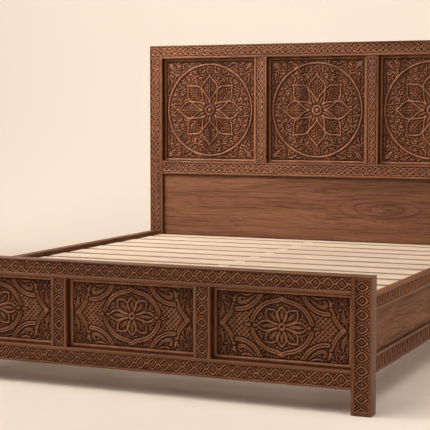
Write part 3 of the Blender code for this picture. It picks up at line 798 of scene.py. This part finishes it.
def carveCorner(canvas, look, su, sv):
    flip = np.array([su, sv])
    corner = flip * look["corner"]
    base, tip, half, bend = headCorner["leaf"]
    inkLeaf(canvas, corner - flip * base, corner - flip * tip, half, bend, look["cornerTop"])
    for x, y in headCorner["scrolls"]:
        lead = headCorner["lead"] + (math.pi / 2 if x < y else 0.0)
        start = math.atan2(-sv * math.sin(lead), -su * math.cos(lead))
        way = su * sv * (1 if x < y else -1)
        radius, half = headCorner["scrollRadius"], headCorner["scrollHalf"]
        inkScroll(canvas, corner - flip * (x, y), radius, start, way, half, look["scrollTop"])
    for base, tip, half, bend in headCorner["leaves"]:
        for way in (1, -1):
            ends = [corner - flip * end[::way] for end in (base, tip)]
            inkLeaf(canvas, *ends, half, bend * way * su * sv, look["leafTop"])


def carveHeadPanel(canvas, look):
    for k in range(8):
        carveRing(canvas, look, k)
    for su, sv in quarterFlips:
        carveCorner(canvas, look, su, sv)
    petal = splinePoints(headPetal["outline"])
    for top, moat in ((0.0, look["moat"]), (look["strapTop"], 0.0)):  # clear the ground, then lay the straps
        for k in range(8):
            for way in (1, -1):
                inkPath(canvas, turned(petal * (way, 1), k * eighth), look["strapHalf"], top, "round", moat)
    radius = np.hypot(canvas["u"], canvas["v"])
    height = canvas["height"]
    band = np.abs(radius - look["ring"])
    height[band < look["ringHalf"] + look["moat"]] = 0
    np.maximum(height, ridge(band, look["ringHalf"]), out=height)
    height[radius < look["hub"] + look["hubHalf"] + look["moat"]] = 0
    np.maximum(height, ridge(np.abs(radius - look["hub"]), look["hubHalf"]), out=height)
    np.maximum(height, look["strapTop"] * ridge(radius, look["knob"]), out=height)
    fillQuarters(canvas, look)


# foot panels: a pointed medallion with a flower, ogee straps and corner scrolls

footLook = borderLook | {
    "step": 0.0016, "strapHalf": 0.0088, "moat": 0.0040, "petalHalf": 0.0040, "petalMoat": 0.0020,
    "hub": 0.0105, "hubHalf": 0.0050, "hubClear": 0.0175, "outerLeaf": [(0, 0.056), (0, 0.086)],
    "outerHalf": 0.0062, "innerFrom": 0.027, "innerShort": 0.014, "innerHalf": 0.0080,
    "leafTop": 0.86, "fillTop": 0.88, "starTop": 0.92, "curlTop": 0.94, "petalTop": 0.97, "dropTop": 0.98,
    "seed": 31, "margin": 0.0015,
    "fill": [  # tries, longest, half width, height
        (2500, 0.024, 0.0052, 0.86), (4000, 0.018, 0.0044, 0.84), (5000, 0.012, 0.0037, 0.82),
        (4000, 0.006, 0.0030, 0.80),
    ],
}
footStraps = {
    "medallion": [
        (0, 0.1060), (0.011, 0.0985), (0.028, 0.0930), (0.055, 0.0860),
        (0.081, 0.0700), (0.103, 0.045), (0.1155, 0.019), (0.1165, 0),
    ],
    "tip": [(0.238, 0), (0.223, 0.013), (0.205, 0.036), (0.194, 0.057), (0.1895, 0.071)],
    "band": [
        (0.179, 0.056), (0.158, 0.057), (0.1355, 0.064), (0.112, 0.079), (0.095, 0.097), (0.081, 0.121),
    ],
    "pinch": (0.9, 1.0, 1.0, 1.0, 1.0, 1.0, 0.62),  # the medallion narrows at its sides
}
footPetals = {
    "upright": [(0, 0.0740), (0.0120, 0.060), (0.0195, 0.046), (0.0160, 0.030), (0.0060, 0.016)],
    "slanting": [(0, 0.0850), (0.0135, 0.074), (0.0220, 0.058), (0.0170, 0.036), (0.0065, 0.017)],
    "level": [(0, 0.0980), (0.0135, 0.082), (0.0190, 0.065), (0.0135, 0.045), (0.0050, 0.020)],
}
petalOrder = ("upright", "slanting", "level", "slanting") * 2
footCorner = {
    "leaves": [  # base, tip, half width, bend
        ((0.066, 0.062), (0.084, 0.050), 0.0050, 0.2),
        ((0.014, 0.087), (0.038, 0.080), 0.0046, 0.15),
        ((0.2480, 0.016), (0.2350, 0.076), 0.0088, 0.10),
        ((0.2170, 0.058), (0.2060, 0.088), 0.0064, 0.18),
        ((0.2085, 0.098), (0.2130, 0.114), 0.0046, 0),
        ((0.2300, 0.0975), (0.2190, 0.1110), 0.0044, 0),
        ((0.2300, 0.0975), (0.2410, 0.1110), 0.0044, 0),
        ((0.2300, 0.0975), (0.2190, 0.0850), 0.0044, 0),
        ((0.2300, 0.0975), (0.2420, 0.0850), 0.0044, 0),
    ],
    "star": (0.2300, 0.0975), "starRadius": 0.0046,
    "curl": [(0.110, 0.108), (0.126, 0.094), (0.146, 0.083), (0.164, 0.082), (0.170, 0.094), (0.160, 0.101)],
    "curlHalves": (0.0022, 0.0062, 0.0086, 0.0080, 0.0060, 0.0046), "curlMoat": 0.0020,
    "hook": [(0.112, 0.117), (0.128, 0.112), (0.142, 0.110), (0.158, 0.114)],
    "hookHalves": (0.002, 0.0048, 0.0050, 0.0034),
    "drop": [(0.1885, 0.084), (0.1860, 0.096), (0.1780, 0.110)],
    "dropHalves": (0.0080, 0.0066, 0.0030), "dropMoat": 0.0026,
}
footSides = {
    "bead": 0.1165, "beadRadius": 0.0068, "beadMoat": 0.0016, "tipBead": 0.2410, "tipRadius": 0.0066,
    "buds": ((0.1290, 0.1500), (0.1060, 0.0930)), "budHalves": (0.0084, 0.0012), "budMoat": 0.0024,
}
latticeLook = {
    "pitch": 0.0190, "half": 0.0037, "start": 0.1675, "tall": 0.062, "top": 0.82, "over": 0.12,
    "seedTop": 0.72, "seedHalf": 0.13, "seedSoft": 0.06, "floor": 0.30,
}


def weaveLattice(canvas, straps):
    look = latticeLook
    medallion, tip, band = straps["medallion"], straps["tip"], straps["band"]
    u, v = np.abs(canvas["u"]), np.abs(canvas["v"])
    inside = u < np.interp(v, tip[:, 1], tip[:, 0])
    inside &= v < np.interp(u, band[::-1, 0], band[::-1, 1])
    inside &= (u > np.interp(v, medallion[::-1, 1], medallion[::-1, 0])) & (v < look["tall"])
    rising, falling = (u - look["start"] + v) / look["pitch"], (u - look["start"] - v) / look["pitch"]
    over = look["over"] * np.cos(math.pi * (rising + falling))
    apart = look["pitch"] / math.sqrt(2)
    first = ridge((rising - np.round(rising)) * apart, look["half"]) * (look["top"] + over)
    second = ridge((falling - np.round(falling)) * apart, look["half"]) * (look["top"] - over)
    cell = np.maximum(np.abs(rising - np.floor(rising) - 0.5), np.abs(falling - np.floor(falling) - 0.5))
    seed = look["seedTop"] * smoothStep((look["seedHalf"] - cell) / look["seedSoft"])
    woven = np.maximum.reduce([first, second, np.maximum(seed, look["floor"])])
    canvas["height"] = np.where(inside, woven, canvas["height"])


def carveFootCorner(canvas, look, flip):
    su, sv = flip
    for base, tip, half, bend in footCorner["leaves"]:
        inkLeaf(canvas, np.array(base) * flip, np.array(tip) * flip, half, bend * su * sv, look["leafTop"])
    inkBead(canvas, np.array(footCorner["star"]) * flip, footCorner["starRadius"], look["starTop"])
    curl, hook, drop = (splinePoints(footCorner[key]) * flip for key in ("curl", "hook", "drop"))
    inkPath(canvas, curl, footCorner["curlHalves"], look["curlTop"], "leaf", footCorner["curlMoat"])
    inkPath(canvas, hook, footCorner["hookHalves"], look["leafTop"])
    inkPath(canvas, drop, footCorner["dropHalves"], look["dropTop"], "round", footCorner["dropMoat"])


def carveFootPanel(canvas, look):
    straps = {key: splinePoints(footStraps[key]) for key in ("tip", "band", "medallion")}
    weaveLattice(canvas, straps)
    petals = {kind: splinePoints(outline) for kind, outline in footPetals.items()}
    for k, kind in enumerate(petalOrder):
        between = (k + 0.5) * eighth
        turnedLeaf(canvas, look["outerLeaf"], between, look["outerHalf"], 0, look["leafTop"])
        inner = [(0, look["innerFrom"]), (0, petals[kind][0, 1] - look["innerShort"])]
        turnedLeaf(canvas, inner, k * eighth, look["innerHalf"], 0, look["fillTop"])
    for flip in quarterFlips:
        carveFootCorner(canvas, look, flip)
    for top, moat in ((0.0, look["petalMoat"]), (look["petalTop"], 0.0)):
        for k, kind in enumerate(petalOrder):
            for way in (1, -1):
                petal = turned(petals[kind] * (way, 1), k * eighth)
                inkPath(canvas, petal, look["petalHalf"], top, "round", moat)
    for key, strap in straps.items():
        taper = footStraps["pinch"] if key == "medallion" else (1.0, 1.0)
        halves = tapered(look["strapHalf"], taper)
        for top, moat in ((0.0, look["moat"]), (1.0, 0.0)):
            for flip in quarterFlips:
                inkPath(canvas, strap * flip, halves, top, "double", moat)
    for su in (1, -1):
        inkBead(canvas, (su * footSides["bead"], 0), footSides["beadRadius"], 1.0, footSides["beadMoat"])
        for base, tip in footSides["buds"]:
            bud = [(su * base, 0), (su * tip, 0)]
            inkPath(canvas, bud, footSides["budHalves"], look["curlTop"], "leaf", footSides["budMoat"])
        inkBead(canvas, (su * footSides["tipBead"], 0), footSides["tipRadius"], 1.0)
    radius = np.hypot(canvas["u"], canvas["v"])
    canvas["height"][radius < look["hubClear"]] = 0
    np.maximum(canvas["height"], ridge(np.abs(radius - look["hub"]), look["hubHalf"]), out=canvas["height"])
    fillQuarters(canvas, look)


tongue = 0.0097  # a panel's edge that stands in the groove of its frame
openings = {
    "head": (nodeBox("head_mid_rail")[1][2], nodeBox("head_top_rail")[0][2]),
    "foot": (nodeBox("foot_bottom_rail")[1][2], nodeBox("foot_top_rail")[0][2]),
}
carvers = {"head": (carveHeadPanel, headLook, "carvedHead"), "foot": (carveFootPanel, footLook, "carvedZ")}

for board, (bottom, top) in openings.items():
    carve, look, wood = carvers[board]
    panelHalf = round(nodeBox(f"{board}_panel_centre")[1][0] - tongue, 6)
    reach = (panelHalf + look["overlap"], (top - bottom) / 2 + look["overlap"])
    pattern = newCanvas((-reach[0], -reach[1]), reach, look["step"])
    carve(pattern, look)
    depth = panelDepth(pattern, look)
    relief = reliefOf(depth, look["ground"], look["step"])
    # painted highlight: the border bead is kept at least as light as the border tone
    onBorder = pattern["toEdge"] < look["bead"] + look["beadHalf"]
    relief = np.where(onBorder, np.maximum(relief, look["tone"]), relief)
    for place in ("left", "centre", "right"):
        node = f"{board}_panel_{place}"
        low, high = nodeBox(node)
        x, z = round((low[0] + high[0]) / 2, 6), (top + bottom) / 2
        canvas = {"u": pattern["u"] + x, "v": pattern["v"] + z, "toEdge": pattern["toEdge"]}
        canvas["low"], canvas["high"] = (x - reach[0], z - reach[1]), (x + reach[0], z + reach[1])
        block = raiseBlock(pieceName(node), canvas, depth, relief, frontPlane(node))
        placeBlock(block, node, woods[wood])
    print(board, "panels carved")


# carved rows for posts, rails, muntins and bands

diamondLook = {
    "pitch": 0.050, "reach": 0.47, "beadedReach": 0.40, "wide": 0.97, "rounding": 1.22,
    "strap": 0.0029, "gap": 0.0031, "nest": 0.0022, "bead": 0.0046, "margin": 0.0010,
    "waver": (0.0009, 0.0006), "sideWaver": (0.0007, 63.0, 0.4),
    "cross": 0.0019, "crossDeep": 0.75, "soft": 0.0012, "lozengeSoft": 0.0020, "seedSoft": 0.0026,
    "lozengeTop": 0.96, "beadTop": 1.05, "nestTop": 0.86, "seedTop": 0.84,
}
strandLook = {
    "pitch": 0.066, "half": 0.0041, "margin": 0.0012, "waver": (0.0008, 0.0005), "top": 0.86, "over": 0.14,
    "seed": (0.0062, 0.0074), "seedTop": 0.90, "bead": (0.0060, 0.0036), "beadTop": 0.85,
}
reedLook = {
    "pitch": 0.034, "step": 0.0020, "half": 0.0098, "lean": 0.16, "uneven": 0.07, "unevenTurn": 2.3,
    "groove": 0.0016, "grooveDeep": 0.45, "bead": 0.0040, "beadIn": 0.0058, "beadTop": 0.85,
}
cutWaves = (41.0, 97.0, 1.3)


def handCut(along, waver):
    slow, fast, shift = cutWaves
    return along + waver[0] * np.sin(along * slow) + waver[1] * np.sin(along * fast + shift)


def diamondChain(along, across, half, pitch, reach=diamondLook["reach"]):
    look = diamondLook
    along = handCut(along, look["waver"])
    waver, wave, shift = look["sideWaver"]
    across = across + waver * np.sin(along * wave + shift)
    s, t = np.abs(along - np.round(along / pitch) * pitch), np.abs(across)
    long, wide = reach * pitch, look["wide"] * half
    apart = 1 / math.hypot(1 / long, 1 / wide)
    power = look["rounding"]
    rhomb = (((s / long) ** power + (t / wide) ** power) ** (1 / power) - 1) * apart
    strap = ridge(rhomb + look["strap"], look["strap"])
    core = -rhomb - 2 * look["strap"] - look["gap"]
    toCross = np.abs(s / long - t / wide) * apart
    quarters = 1 - look["crossDeep"] * smoothStep((look["cross"] - toCross) / look["soft"])
    lozenge = look["lozengeTop"] * np.sqrt(np.clip(core / look["lozengeSoft"], 0, 1)) * quarters
    toBead = np.hypot(pitch / 2 - s, t)
    bead = look["beadTop"] * ridge(toBead, look["bead"])
    nested = look["nestTop"] * ridge(rhomb - look["gap"] - look["nest"], look["nest"])
    inner = rhomb - 2 * look["gap"] - 2 * look["nest"]
    seed = look["seedTop"] * np.sqrt(np.clip(inner / look["seedSoft"], 0, 1))
    clear = smoothStep((toBead - look["bead"] - look["soft"]) / look["soft"])
    sides = np.maximum(nested, seed) * clear
    return np.maximum.reduce([strap, lozenge, bead, sides * (t < half - look["margin"])])


def beadedChain(along, across, half, pitch):
    return diamondChain(along, across, half, pitch, diamondLook["beadedReach"])


def fourStrands(along, across, half, pitch):
    look = strandLook
    along = handCut(along, look["waver"])
    swing = half - look["half"] - look["margin"]
    strands = []
    for k in range(4):
        phase = math.pi * (along / pitch + k / 2)
        slope = np.sqrt(1 + (swing * math.pi / pitch * np.cos(phase)) ** 2)
        away = (across - swing * np.sin(phase)) / slope
        strands.append(ridge(away, look["half"]) * (look["top"] + look["over"] * np.cos(3 * phase)))
    t = np.abs(across)
    s = np.abs(along - (np.floor(2 * along / pitch) + 0.5) * pitch / 2)
    seed = look["seedTop"] * ridge(np.hypot(s / look["seed"][0], t / look["seed"][1]), 1.0)
    s = np.abs(along - np.round(2 * along / pitch) * pitch / 2)
    long, wide = look["bead"]
    bead = look["beadTop"] * ridge(np.hypot(s / long, (half - wide - t) / wide), 1.0)
    return np.maximum.reduce(strands + [seed, bead])


def reedRow(along, across, half, pitch):
    look = reedLook
    unit = np.round(along / pitch)
    lean = look["lean"] * np.cos(math.pi * unit) + look["uneven"] * np.sin(unit * look["unevenTurn"])
    away = np.abs(along - unit * pitch - lean * across)
    wide = look["half"] * np.sqrt(np.clip(1 - (np.abs(across) / half) ** 3, 0, 1)) + 1e-6
    reed = ridge(away, wide) * (1 - look["grooveDeep"] * np.exp(-(away / look["groove"]) ** 2))
    between = pitch / 2 - np.abs(along - unit * pitch)
    bead = look["beadTop"] * ridge(np.hypot(between, half - look["beadIn"] - np.abs(across)), look["bead"])
    return np.maximum(reed, bead)


# frame strips: carved rows sunk between plain rounded fillets

# strip tones: the margins, walls and recess walls darker as painted shade, the fillets lighter as painted
# highlight
stripLook = {
    "step": 0.00172, "ground": 0.0072, "rise": 0.0068, "filletRound": 0.0013, "apart": 0.0005,
    "edgeTone": 0.37, "filletTone": 0.55, "wallTone": 0.47, "recessTone": 0.30,
    "wall": 0.0002, "edge": 0.0016, "filletEdge": 0.0005, "blend": 0.0014, "spill": 0.0008,
}


def carvedRow(runs, across, along, start, pitch, chain):
    return {"runs": runs, "across": across, "along": along, "start": start, "pitch": pitch, "chain": chain}


def plainFillet(runs, across, along=(-2, 2)):
    return {"runs": runs, "across": across, "along": along}


def alongAcross(canvas, runs):
    return (canvas["u"], canvas["v"]) if runs == "u" else (canvas["v"], canvas["u"])


def carveFace(canvas, strips, fillets):
    depth = np.zeros_like(canvas["u"])
    carved = np.zeros(depth.shape, bool)
    # painted shade: the plain margins are darkened, while the rounded rim keeps the plain tone
    tone = np.where(canvas["toEdge"] < stripLook["edge"], 1.0, stripLook["edgeTone"])
    rim = canvas["toEdge"] < stripLook["wall"]  # its painted shade runs down the walls behind the face
    tone[rim] = stripLook["wallTone"]
    for strip in strips:
        along, across = alongAcross(canvas, strip["runs"])
        low, high = strip["across"]
        first, last = strip["along"]
        inside = np.minimum.reduce([across - low, high - across, along - first, last - along])
        fromMiddle, half = across - (high + low) / 2, (high - low) / 2
        height = strip["chain"](along - strip["start"], fromMiddle, half, strip["pitch"])
        mask = smoothStep(inside / stripLook["blend"])
        depth = depth * (1 - mask) + (stripLook["ground"] - stripLook["rise"] * height) * mask
        carved |= inside > -stripLook["spill"]
    for fillet in fillets:
        along, across = alongAcross(canvas, fillet["runs"])
        low, high = fillet["across"]
        first, last = fillet["along"]
        inRow = (across >= low) & (across <= high) & (along >= first) & (along <= last)
        t = np.clip(np.abs(across - (low + high) / 2) / ((high - low) / 2), 0, 1)
        depth = np.where(inRow, stripLook["filletRound"] * (1 - np.sqrt(1 - t ** 2)), depth)
        # painted highlight on the fillets, lighter than the shaded margins, and painted shade on the walls
        # beside them
        tone = np.where(inRow & (canvas["toEdge"] > stripLook["filletEdge"]), stripLook["filletTone"], tone)
        tone[inRow & rim] = stripLook["recessTone"]
        carved &= ~inRow
    carved &= ~rim
    return depth, np.where(carved, reliefOf(depth, stripLook["ground"], stripLook["step"]), tone)


def carveStrip(name, node, low, high, plane, strips, fillets, material, step=stripLook["step"]):
    canvas = newCanvas(low, high, step)
    depth, relief = carveFace(canvas, strips, fillets)
    placeBlock(raiseBlock(name, canvas, depth, relief, plane), node, material)


def carveFront(node, low, high, strips, fillets, material):
    carveStrip(pieceName(node), node, low, high, frontPlane(node), strips, fillets, material)


def rowAndFillets(bottom, top, look):
    row = (round(bottom + look["margins"][0], 6), round(top - look["margins"][1], 6))
    lower, upper = look["fillets"]
    fillets = []
    if lower:
        fillets.append((bottom, round(bottom + lower, 6)))
    if upper:
        fillets.append((round(top - upper, 6), top))
    return row, fillets


fit = 0.0003  # clearance where a piece meets its frame
postEdge, postFace = (corner[0] for corner in nodeBox("head_post_right"))
boards = {
    "head": {"wood": "plait", "rail": fourStrands, "post": fourStrands, "pitch": strandLook["pitch"]},
    "foot": {"wood": "carved", "rail": diamondChain, "post": beadedChain, "pitch": diamondLook["pitch"]},
}

# posts: a row up the front and a fillet beside the panels, and the head rail's row runs over the head posts

posts = {
    "head": {"row": (0.395, 1.359), "fillet": (0.38, 1.3705)},
    "foot": {"row": (0.016, 0.487), "fillet": (0.0, 0.499)},
}
postLook = {"fillet": 0.0120, "margin": 0.0085, "lap": 0.01}
rails = {  # margins and fillets along the lower and the upper edge
    "head_top_rail": {"margins": (0.0125, 0.0075), "fillets": (0.0115, 0)},
    "head_mid_rail": {"margins": (0.0100, 0.0100), "fillets": (0.0095, 0.0095)},
    "foot_top_rail": {"margins": (0.0120, 0.0065), "fillets": (0.0115, 0)},
    "foot_bottom_rail": {"margins": (0.0081, 0.0120), "fillets": (0, 0.0115)},
}

for board, post in posts.items():
    look = boards[board]
    pitch = look["pitch"]
    for side, sign in (("left", -1), ("right", 1)):
        node = f"{board}_post_{side}"
        low, high = nodeBox(node)
        filletEnd, outer = postEdge + postLook["fillet"], postFace - postLook["margin"]
        across = sorted([sign * (filletEnd + stripLook["apart"]), sign * outer])
        strips = [carvedRow("v", across, post["row"], post["row"][1] - pitch / 2, pitch, look["post"])]
        if board == "head":
            corner = sorted([sign * (postEdge - postLook["lap"]), sign * outer])
            railBottom, railTop = (end[2] for end in nodeBox("head_top_rail"))
            capRow, _ = rowAndFillets(railBottom, railTop, rails["head_top_rail"])
            strips.append(carvedRow("u", capRow, corner, 0.0, pitch, look["rail"]))
        fillets = [plainFillet("v", sorted([sign * postEdge, sign * filletEnd]), post["fillet"])]
        faceLow, faceHigh = (low[0], low[2]), (high[0], high[2])
        carveFront(node, faceLow, faceHigh, strips, fillets, woods[look["wood"] + "Z"])
print("posts carved")

# rails between the posts

railSpan = postEdge - fit
railEnd = 0.0012

for node, rail in rails.items():
    look = boards[node[:4]]
    low, high = nodeBox(node)
    row, edges = rowAndFillets(low[2], high[2], rail)
    reach = railSpan + postLook["lap"] if node == "head_top_rail" else railSpan - railEnd
    strips = [carvedRow("u", row, (-reach, reach), 0.0, look["pitch"], look["rail"])]
    fillets = [plainFillet("u", edge) for edge in edges]
    faceLow, faceHigh = (-railSpan, low[2]), (railSpan, high[2])
    carveFront(node, faceLow, faceHigh, strips, fillets, woods[look["wood"] + "X"])

# muntins between the panels

muntinFillet, muntinLap = 0.0110, 0.01

for board, (bottom, top) in openings.items():
    look = boards[board]
    along, middle = (bottom - muntinLap, top + muntinLap), (bottom + top) / 2
    for side in ("left", "right"):
        node = f"{board}_muntin_{side}"
        low, high = nodeBox(node)
        inner = (low[0] + muntinFillet, high[0] - muntinFillet)
        across = (inner[0] + stripLook["apart"], inner[1] - stripLook["apart"])
        strips = [carvedRow("v", across, along, middle, look["pitch"], look["post"])]
        fillets = [plainFillet("v", (low[0], inner[0])), plainFillet("v", (inner[1], high[0]))]
        faceLow, faceHigh = (low[0], bottom + fit), (high[0], top - fit)
        carveFront(node, faceLow, faceHigh, strips, fillets, woods[look["wood"] + "Z"])
print("rails and muntins carved")

# bands along the side rails, each with a bead that laps the rail's face

bandEnd = 0.0012
bands = {
    "upper": {"lap": (0.004, 0), "margins": (0.0085, 0.0050), "fillets": (0.0080, 0)},
    "lower": {"lap": (0, 0.004), "margins": (0.0075, 0.0085), "fillets": (0, 0.0080)},
}
railFace = nodeBox("side_rail_right")[1][0]

for side, sign in (("left", -1), ("right", 1)):
    for place, band in bands.items():
        node = f"side_rail_{side}_{place}_band"
        low, high = nodeBox(node)
        plane = {"axis": "x", "face": sign * max(abs(low[0]), abs(high[0])), "back": sign * (railFace + fit)}
        bottom, top = round(low[2] - band["lap"][0], 6), round(high[2] + band["lap"][1], 6)
        row, edges = rowAndFillets(bottom, top, band)
        along = (low[1] + bandEnd, high[1] - bandEnd)
        strips = [carvedRow("u", row, along, 0.0, reedLook["pitch"], reedRow)]
        fillets = [plainFillet("u", edge) for edge in edges]
        name = f"sideBand{side.title()}{place.title()}"
        faceLow, faceHigh = (low[1], bottom), (high[1], top)
        carveStrip(name, node, faceLow, faceHigh, plane, strips, fillets, woods["carvedY"], reedLook["step"])
print("side bands carved")


# the plain pieces keep their shape and take wood that runs along them

plainFinish = {
    "head_bottom_rail": "panel", "head_plain_panel": "panel",
    "side_rail_left": "railLeft", "side_rail_right": "railRight",
    "side_ledger_left": "paleY", "side_ledger_right": "paleY",
    "head_ledger": "paleX", "foot_ledger": "paleX",
    "centre_beam": "paleY", "centre_leg_head": "paleZ", "centre_leg_foot": "paleZ",
}

for node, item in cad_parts.items():
    if node.startswith("slat_"):
        finish = woods["slat"]
    elif node.startswith(("post_plate", "rail_hook")):
        finish = steel
    elif node.startswith("leg_glide"):
        finish = plastic
    elif node in plainFinish:
        finish = woods[plainFinish[node]]
    else:
        continue
    item.data.materials.clear()
    item.data.materials.append(finish)
print("plain pieces finished")
